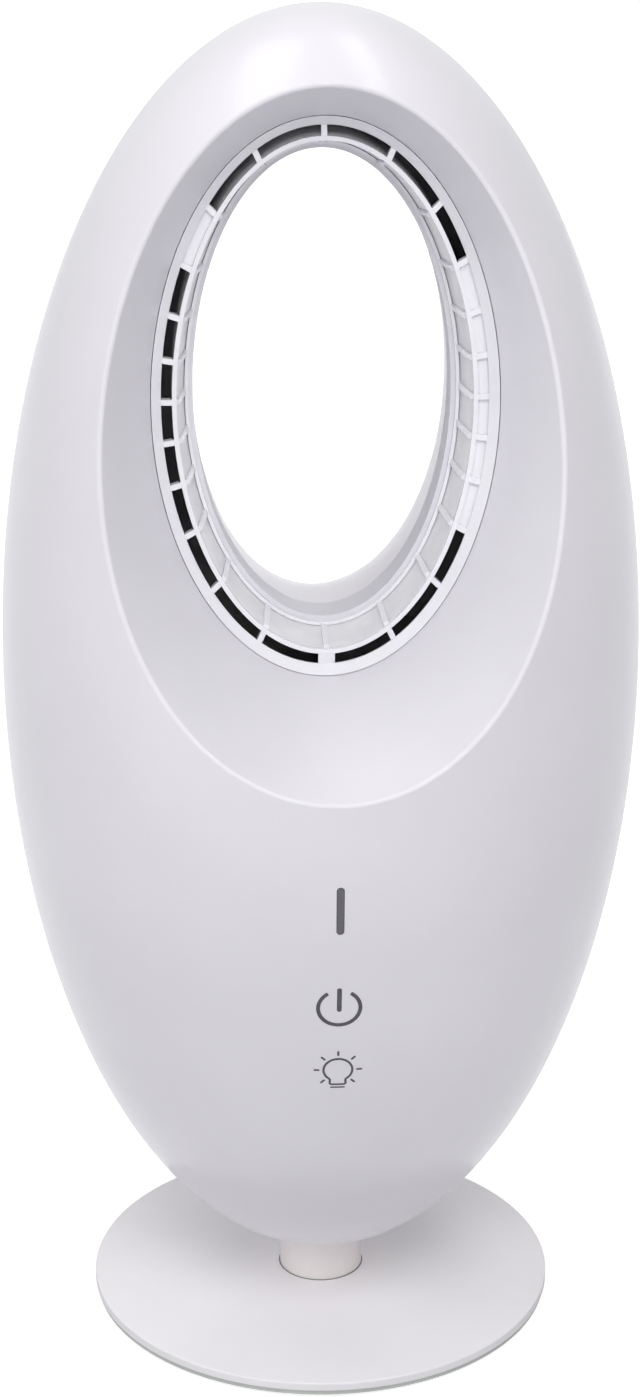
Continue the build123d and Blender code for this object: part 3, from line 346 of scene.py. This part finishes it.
# camera, solved from the photo: turned a little about the upright axis and looking down on the
# fan; angles in radians, pixels of the frame's height, clipping distances in metres

view = dict(
    turn=-0.0605, pitch=0.4025, placeMm=(-52.8, -869.06, 526.69),
    focalPixels=3974.4, framePixels=1397, sensorMm=24.0, centrePixel=710.2,
    clipNear=0.01, clipFar=20,
)
camera = bpy.data.cameras.new("photoCamera")
cameraObject = bpy.data.objects.new("photoCamera", camera)
bpy.context.scene.collection.objects.link(cameraObject)
bpy.context.scene.camera = cameraObject
camera.sensor_fit = "VERTICAL"
camera.sensor_height = view["sensorMm"]
camera.lens = view["focalPixels"] / view["framePixels"] * view["sensorMm"]
camera.shift_y = (view["centrePixel"] - view["framePixels"] / 2) / view["framePixels"]
camera.clip_start = view["clipNear"]
camera.clip_end = view["clipFar"]
cameraObject.rotation_euler = (math.pi / 2 - view["pitch"], 0, view["turn"])
cameraObject.location = [value * mm for value in view["placeMm"]]
print("camera set")

# studio: pale floor, soft boxes, even surround

studio = dict(
    floorSize=6.0, floorColour="#C0C0C3", floorGlow=0.82,
    surroundStrength=0.2, surroundColour="#F6F5FA",
    boxes=[
        # name, place, aim, width, height, watts, whether it shows in the gloss
        ("keyFront", (0.0, -1.0, 1.15), (0, 0, 0.15), 0.8, 0.6, 9.4, False),
        ("highLeft", (-0.42, 0.15, 1.2), (0, 0, 0.25), 0.9, 0.45, 2.3, True),
        ("highRight", (0.38, 0.15, 1.2), (0, 0, 0.25), 0.9, 0.2, 1.5, True),
        ("sideLeft", (-1.2, -0.3, 0.8), (0, 0, 0.18), 0.7, 0.5, 3.8, False),
        ("sideRight", (1.2, -0.3, 0.8), (0, 0, 0.18), 0.7, 0.5, 1.3, False),
        ("frontLow", (0.0, -1.3, 0.45), (0, 0, 0.1), 0.8, 0.4, 2.6, False),
        ("backLow", (0.3, 1.4, 0.38), (0, 0, 0.18), 1.0, 0.4, 4.2, False),
    ],
)


def backgroundRays(tree):
    # camera, mirror and see-through rays meet the white background, others the soft surround
    rays = addNode(tree, "ShaderNodeLightPath")
    direct = addNode(tree, "ShaderNodeMath", {"operation": "MAXIMUM"},
                     {0: rays.outputs["Is Camera Ray"], 1: rays.outputs["Is Glossy Ray"]})
    every = addNode(tree, "ShaderNodeMath", {"operation": "MAXIMUM"},
                    {0: direct.outputs[0], 1: rays.outputs["Is Transmission Ray"]})
    return every.outputs[0]


clearSelection()
bpy.ops.mesh.primitive_plane_add(size=studio["floorSize"], location=(0, 0, 0))
floor = bpy.context.object
floor.name = "studioFloor"
floorPaint = bpy.data.materials.new("paintedFloorPale")
floorPaint.use_nodes = True
tree = floorPaint.node_tree
tree.nodes.clear()
seen = backgroundRays(tree)
strength = addNode(tree, "ShaderNodeMath", {"operation": "MULTIPLY", 1: studio["floorGlow"]},
                   {0: seen})
dull = addNode(tree, "ShaderNodeBsdfDiffuse", {"Color": hexColour(studio["floorColour"])})
glow = addNode(tree, "ShaderNodeEmission", {"Color": (1, 1, 1, 1)},
               {"Strength": strength.outputs[0]})
both = addNode(tree, "ShaderNodeAddShader", None, {0: dull.outputs[0], 1: glow.outputs[0]})
addNode(tree, "ShaderNodeOutputMaterial", None, {"Surface": both.outputs[0]})
floor.data.materials.append(floorPaint)

world = bpy.data.worlds.new("studioSurround")
bpy.context.scene.world = world
world.use_nodes = True
tree = world.node_tree
tree.nodes.clear()
surround = addNode(tree, "ShaderNodeBackground",
                   {"Color": hexColour(studio["surroundColour"]),
                    "Strength": studio["surroundStrength"]})
plainWhite = addNode(tree, "ShaderNodeBackground", {"Color": (1, 1, 1, 1), "Strength": 1.0})
pick = addNode(tree, "ShaderNodeMixShader", None,
               {0: backgroundRays(tree), 1: surround.outputs[0], 2: plainWhite.outputs[0]})
addNode(tree, "ShaderNodeOutputWorld", None, {"Surface": pick.outputs[0]})

for name, place, aim, width, height, watts, shows in studio["boxes"]:
    light = bpy.data.lights.new(name, "AREA")
    light.shape = "RECTANGLE"
    light.size = width
    light.size_y = height
    light.energy = watts
    lamp = bpy.data.objects.new(name, light)
    bpy.context.scene.collection.objects.link(lamp)
    lamp.visible_glossy = shows
    lamp.location = place
    lamp.rotation_euler = (Vector(aim) - Vector(place)).to_track_quat("-Z", "Y").to_euler()
bpy.context.scene.view_settings.view_transform = "Standard"
print("studio lit")

# touch marks: ink strokes drawn flat, stood up before the wall and pressed onto it; heights and
# lengths in millimetres, gaps as the half angle that stays open

marks = dict(
    inkMm=0.05, wallGapMm=0.03, startMm=-120, cornerShare=0.49, roundShare=0.45, roundSteps=4,
    powerZ=112.3, ringMm=4.8, ringSteps=72, strokeMm=0.9, gapDegrees=33,
    barMm=1.1, barLow=-1.1, barHigh=5.5,
    lampZ=94.2, bulbMm=3.3, bulbSteps=60, lineMm=0.52, bulbOpenDegrees=33, neckHalfMm=1.8,
    neckTop=-2.7, neckLow=-4.4, capHalfMm=1.7, capLow=-5.3, capMm=0.4,
    rayStep=45, rayCount=7, rayIn=4.2, rayOut=5.6,
)


def arcStroke(radius, width, gapAt, gapHalf, steps):
    # ring with a gap: one short edge spun clockwise about the middle, from the gap's far side
    # round to its near side; the gap's place and half width in degrees from the top
    clearSelection()
    bpy.ops.mesh.primitive_plane_add(size=width * mm, location=(width / 2 * mm, radius * mm, 0))
    stroke = applyPlace(bpy.context.object)
    pickEdges(stroke, lambda middle, along: middle.x > width * endShare)
    bpy.ops.mesh.delete(type="VERT")            # leaves the short edge across the stroke
    bpy.ops.mesh.select_all(action="SELECT")
    bpy.ops.mesh.spin(steps=steps, angle=math.radians(360 - 2 * gapHalf), center=(0, 0, 0),
                      axis=(0, 0, 1))
    bpy.ops.object.mode_set(mode="OBJECT")
    stroke.rotation_euler[2] = -math.radians(gapAt + gapHalf)
    return applyPlace(stroke)


def straightStroke(start, end, width):
    # straight stroke with round ends between two points (across, up)
    reach = Vector(end) - Vector(start)
    middle = (Vector(end) + Vector(start)) / 2
    clearSelection()
    bpy.ops.mesh.primitive_plane_add(size=mm, location=(0, 0, 0))
    stroke = bpy.context.object
    stroke.scale = (width, reach.length, 1)
    applyPlace(stroke)
    cuts = max(1, int(reach.length / width))
    pickEdges(stroke, lambda middle, along: abs(along.y) > endShare)
    bpy.ops.mesh.subdivide(number_cuts=cuts)
    bpy.ops.object.mode_set(mode="OBJECT")
    for corner in stroke.data.vertices:
        corner.select = abs(corner.co.y) > reach.length * marks["cornerShare"] * mm
    bpy.ops.object.mode_set(mode="EDIT")
    bpy.ops.mesh.select_mode(type="VERT")
    bevelPicked(width * marks["roundShare"], marks["roundSteps"], affect="VERTICES")
    stroke.location = (middle.x * mm, middle.y * mm, 0)
    stroke.rotation_euler[2] = math.atan2(-reach.x, reach.y)
    return applyPlace(stroke)


def layOnWall(strokes, height, name):
    # joins the strokes, turns them all face up, presses them on the wall and gives them depth
    piece = joinPieces(strokes, name)
    for face in piece.data.polygons:
        face.select = face.normal.z < 0
    bpy.ops.object.mode_set(mode="EDIT")
    bpy.ops.mesh.flip_normals()
    bpy.ops.object.mode_set(mode="OBJECT")
    piece.location = (0, marks["startMm"] * mm, height * mm)
    piece.rotation_euler[0] = math.radians(90)
    applyPlace(piece)
    applyModifier(piece, "SHRINKWRAP", target=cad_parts["front_shell"],
                  wrap_method="PROJECT", use_project_y=True, use_positive_direction=True,
                  use_negative_direction=False, offset=marks["wallGapMm"] * mm)
    applyModifier(piece, "SOLIDIFY", thickness=marks["inkMm"] * mm, offset=1.0)
    return dressPiece(piece, "screenInkGraphite")


powerMark = layOnWall([
    arcStroke(marks["ringMm"], marks["strokeMm"], 0, marks["gapDegrees"],
              marks["ringSteps"]),
    straightStroke((0, marks["barLow"]), (0, marks["barHigh"]), marks["barMm"]),
], marks["powerZ"], "power_mark")

lampStrokes = [
    arcStroke(marks["bulbMm"], marks["lineMm"], 180, marks["bulbOpenDegrees"],
              marks["bulbSteps"]),
    straightStroke((-marks["neckHalfMm"], marks["neckLow"]),
                   (marks["neckHalfMm"], marks["neckLow"]), marks["lineMm"]),
    straightStroke((-marks["capHalfMm"], marks["capLow"]),
                   (marks["capHalfMm"], marks["capLow"]), marks["capMm"]),
]
for side in (-1, 1):
    lampStrokes.append(straightStroke((side * marks["neckHalfMm"], marks["neckTop"]),
                                      (side * marks["neckHalfMm"], marks["neckLow"]),
                                      marks["lineMm"]))
for ray in range(marks["rayCount"]):
    turn = math.radians((ray - (marks["rayCount"] - 1) / 2) * marks["rayStep"])
    aim = Vector((math.sin(turn), math.cos(turn)))
    lampStrokes.append(straightStroke(aim * marks["rayIn"], aim * marks["rayOut"],
                                      marks["lineMm"]))
layOnWall(lampStrokes, marks["lampZ"], "lamp_mark")
print("touch marks printed")

# pan-head screws with a cross recess, in place of the plain ones that show; head and shank by
# their radius, spots in millimetres, turns in degrees

screwShape = dict(
    headSides=48, shankSides=32, crownSteps=4, crossNarrow=0.55, tipShare=0.3, tipSteps=2,
)
rearScrews = dict(
    headMm=2.9, headHighMm=1.2, shankMm=1.5, lengthMm=18.0, crossLongMm=3.4, crossMm=0.6,
    crossDeepMm=0.8, crownMm=0.5, turn=(-90, 0, 0),
    spots=[(-54, 5.4, 112), (54, 5.4, 112), (-52, 13.5, 215), (52, 13.5, 215)],
)
panScrews = dict(
    headMm=2.3, headHighMm=1.2, shankMm=1.2, lengthMm=3.3, crossLongMm=2.8, crossMm=0.5,
    crossDeepMm=0.7, crownMm=0.45, turn=(180, 0, 0),
    # on the diagonals, 30 mm from the middle
    spots=[(x, y, 1.3) for x in (-21.213, 21.213) for y in (-21.213, 21.213)],
)


def makeScrew(look):
    # head upward from the origin, shank downward
    clearSelection()
    high = look["headHighMm"]
    bpy.ops.mesh.primitive_cylinder_add(
        vertices=screwShape["headSides"], radius=look["headMm"] * mm, depth=high * mm,
        location=(0, 0, high / 2 * mm))
    head = applyPlace(bpy.context.object)
    pickEdges(head, lambda middle, along: middle.z > high * endShare)
    bevelPicked(look["crownMm"], screwShape["crownSteps"])
    for turn in (0, 90):
        clearSelection()
        bpy.ops.mesh.primitive_cube_add(size=mm, location=(0, 0, high * mm))
        cutter = bpy.context.object
        cutter.scale = (look["crossLongMm"], look["crossMm"], 2 * look["crossDeepMm"])
        cutter.rotation_euler[2] = math.radians(turn)
        applyPlace(cutter)
        pickFaces(cutter, lambda point: point.z < high - look["crossDeepMm"] * endShare)
        narrow = screwShape["crossNarrow"]
        bpy.ops.transform.resize(value=(narrow, narrow, 1))     # the recess narrows downward
        bpy.ops.object.mode_set(mode="OBJECT")
        applyModifier(head, "BOOLEAN", object=cutter, operation="DIFFERENCE", solver="EXACT")
        bpy.data.objects.remove(cutter)
    clearSelection()
    bpy.ops.mesh.primitive_cylinder_add(
        vertices=screwShape["shankSides"], radius=look["shankMm"] * mm,
        depth=look["lengthMm"] * mm, location=(0, 0, -look["lengthMm"] / 2 * mm))
    shank = applyPlace(bpy.context.object)
    pickEdges(shank, lambda middle, along: middle.z < -look["lengthMm"] * endShare)
    bevelPicked(look["shankMm"] * screwShape["tipShare"], screwShape["tipSteps"])
    return joinPieces([head, shank], "screwPattern")


def fitScrews(look, name, node):
    # one piece of equal screws that stands for the node's plain ones
    pattern = makeScrew(look)
    copies = [copyPiece(pattern, spot, look["turn"]) for spot in look["spots"]]
    bpy.data.objects.remove(pattern)
    piece = dressPiece(joinPieces(copies, name), "zincPlatedSteel")
    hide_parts(node)


fitScrews(rearScrews, "rear_screw_set", "shell_screws")
fitScrews(panScrews, "pan_screw_set", "base_screws")
print("screws fitted")

# rubber feet with a softened edge and a shallow dished tread

feet = dict(
    radiusMm=6.0, highMm=1.3, edgeMm=0.35, edgeSteps=3, treadMm=1.3, dishMm=0.3,
    dishNarrow=0.93, circleMm=46, sides=64, lowShare=0.1, rimShare=0.95,
)

clearSelection()
bpy.ops.mesh.primitive_cylinder_add(
    vertices=feet["sides"], radius=feet["radiusMm"] * mm, depth=feet["highMm"] * mm,
    location=(0, 0, feet["highMm"] / 2 * mm))
foot = applyPlace(bpy.context.object)
pickFaces(foot, lambda point: point.z < feet["highMm"] * feet["lowShare"])
bpy.ops.mesh.inset(thickness=feet["treadMm"] * mm)
bpy.ops.mesh.extrude_region_move(TRANSFORM_OT_translate={"value": (0, 0, feet["dishMm"] * mm)})
bpy.ops.transform.resize(value=(feet["dishNarrow"], feet["dishNarrow"], 1))
pickEdges(foot, lambda middle, along: middle.z < feet["highMm"] * feet["lowShare"]
          and math.hypot(middle.x, middle.y) > feet["radiusMm"] * feet["rimShare"])
bevelPicked(feet["edgeMm"], feet["edgeSteps"])
copies = [copyPiece(foot, (x * feet["circleMm"], y * feet["circleMm"], 0), (0, 0, 0))
          for x, y in ((1, 0), (0, 1), (-1, 0), (0, -1))]
bpy.data.objects.remove(foot)
rubberFeet = dressPiece(joinPieces(copies, "rubber_feet"), "siliconeRubberAndPaintedShadeGrey")
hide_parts("base_feet")
print("feet fitted")

# thin dark grey ring laid in the gap where the neck enters the base: painted shade for that gap

neckShadeRing = dict(
    innerMm=10.26, outerMm=10.52, lowZ=4.8, highMm=0.58, edgeMm=0.06, edgeSteps=3, sides=96,
    crossShare=0.5,
)

clearSelection()
bpy.ops.mesh.primitive_circle_add(
    vertices=neckShadeRing["sides"], radius=neckShadeRing["outerMm"] * mm,
    location=(0, 0, neckShadeRing["lowZ"] * mm))
ring = applyPlace(bpy.context.object)
bpy.ops.object.mode_set(mode="EDIT")
bpy.ops.mesh.select_all(action="SELECT")
bpy.ops.mesh.extrude_region_move()
narrow = neckShadeRing["innerMm"] / neckShadeRing["outerMm"]
bpy.ops.transform.resize(value=(narrow, narrow, 1))
bpy.ops.mesh.select_all(action="SELECT")
bpy.ops.mesh.extrude_region_move(
    TRANSFORM_OT_translate={"value": (0, 0, neckShadeRing["highMm"] * mm)})
bpy.ops.mesh.select_all(action="SELECT")
bpy.ops.mesh.normals_make_consistent(inside=False)
topOfRing = neckShadeRing["lowZ"] + neckShadeRing["highMm"] * endShare
# the two top edges that run round the ring, not those that cross its top
pickEdges(ring, lambda middle, along: middle.z > topOfRing
          and abs(along.dot(middle.normalized())) < neckShadeRing["crossShare"])
bevelPicked(neckShadeRing["edgeMm"], neckShadeRing["edgeSteps"])
ring.name = "neck_shade_ring"
# its dark grey is painted shade for the gap round the neck
dressPiece(ring, "siliconeRubberAndPaintedShadeGrey")
print("neck ring fitted")

# contact pin in the middle of the power inlet, a bright sleeve over the moulded core

inletPin = dict(
    radiusMm=1.06, noseMm=0.45, noseSteps=4, sides=40, tipY=61.75, backY=53.0, z=94.0,
)

clearSelection()
pinLength = inletPin["tipY"] - inletPin["backY"]
bpy.ops.mesh.primitive_cylinder_add(
    vertices=inletPin["sides"], radius=inletPin["radiusMm"] * mm, depth=pinLength * mm,
    location=(0, 0, pinLength / 2 * mm))
pin = applyPlace(bpy.context.object)
pickEdges(pin, lambda middle, along: middle.z > pinLength * endShare)
bevelPicked(inletPin["noseMm"], inletPin["noseSteps"])
pin.name = "inlet_pin"
pin.location = (0, inletPin["backY"] * mm, inletPin["z"] * mm)
pin.rotation_euler[0] = math.radians(-90)
applyPlace(pin)
dressPiece(pin, "nickelPlatedBrass")
print("inlet pin fitted")

print("scene dressed")
